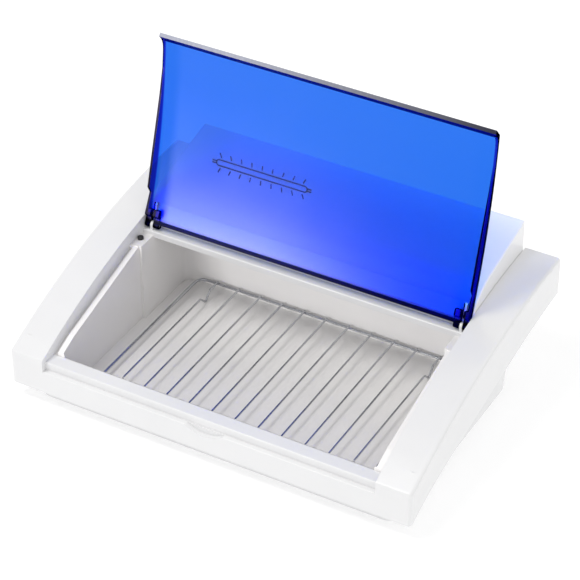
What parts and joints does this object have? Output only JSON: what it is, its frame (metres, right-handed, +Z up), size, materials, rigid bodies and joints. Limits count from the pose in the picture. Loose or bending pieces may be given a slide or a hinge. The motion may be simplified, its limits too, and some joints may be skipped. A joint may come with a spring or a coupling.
{
  "type": "uv sterilizer cabinet",
  "caption": "Table-top UV sterilizer cabinet: white plastic housing, tinted hinged lid, wire rack in a deep tub and a lamp behind.",
  "frame": {"origin": "centre of the footprint, on the surface the feet stand on", "axes": "+X to the right seen from the front, +Y to the back, +Z up"},
  "size_m": [0.42, 0.3, 0.2908],
  "materials": {
    "housing_white": "moulded gloss",
    "tub_white": "moulded satin gloss",
    "lid_blue": "clear tinted gloss",
    "steel": "zinc plated",
    "chrome": "polished chrome plate",
    "lamp_glass": "clear quartz glass",
    "aluminium": "bright",
    "holder_white": "moulded",
    "black_plastic": "moulded satin",
    "ballast_enamel": "enamelled laminations",
    "starter_can": "satin can",
    "brass": "plated contacts",
    "rubber": "moulded"
  },
  "bodies": {
    "cabinet": {"top_cover": "housing_white", "rear_cover": "housing_white", "base_shell": "housing_white", "chamber_tub": "tub_white", "hinge_pin_left": "steel", "hinge_pin_right": "steel", "uv_tube": "lamp_glass", "tube_cap_left": "aluminium", "tube_cap_right": "aluminium", "tube_pins": "brass", "lamp_holder_left": "holder_white", "lamp_holder_right": "holder_white", "reflector": "aluminium", "ballast": "ballast_enamel", "starter": "starter_can", "starter_socket": "holder_white", "interlock_switch": "black_plastic", "interlock_terminals": "brass", "rocker_housing": "black_plastic", "switch_terminals": "brass", "mains_inlet": "black_plastic", "inlet_pins": "brass", "base_screws": "steel", "rear_screws": "steel", "reflector_screws": "steel", "ballast_screws": "steel", "foot_front_left": "rubber", "foot_front_right": "rubber", "foot_rear_left": "rubber", "foot_rear_right": "rubber"},
    "lid": {"lid": "lid_blue"},
    "plunger": {"interlock_plunger": "black_plastic"},
    "rocker": {"power_rocker": "black_plastic"},
    "rack": {"rack_frame": "chrome", "rack_wires": "chrome"}
  },
  "joints": [
    {"name": "lid_hinge", "type": "hinge", "parent": "cabinet", "child": "lid", "pos_m": [0, 0.0335, 0.099], "axis": [1, 0, 0], "range_deg": [0, 118]},
    {"name": "interlock_travel", "type": "slide", "parent": "cabinet", "child": "plunger", "axis": [0, 0, -1], "range_m": [0, 0.0022], "stiffness_N_per_m": 150},
    {"name": "power_switch", "type": "hinge", "parent": "cabinet", "child": "rocker", "pos_m": [-0.095, 0.1448, 0.115], "axis": [1, 0, 0], "range_deg": [0, 20]},
    {"name": "rack_lift", "type": "hinge", "parent": "cabinet", "child": "rack", "pos_m": [0, 0.0815, 0.012], "axis": [1, 0, 0], "range_deg": [-12, 0]}
  ],
  "couplings": [
    {"joint": "interlock_travel", "follows": "lid_hinge", "m_per_rad": 0.0010682}
  ]
}
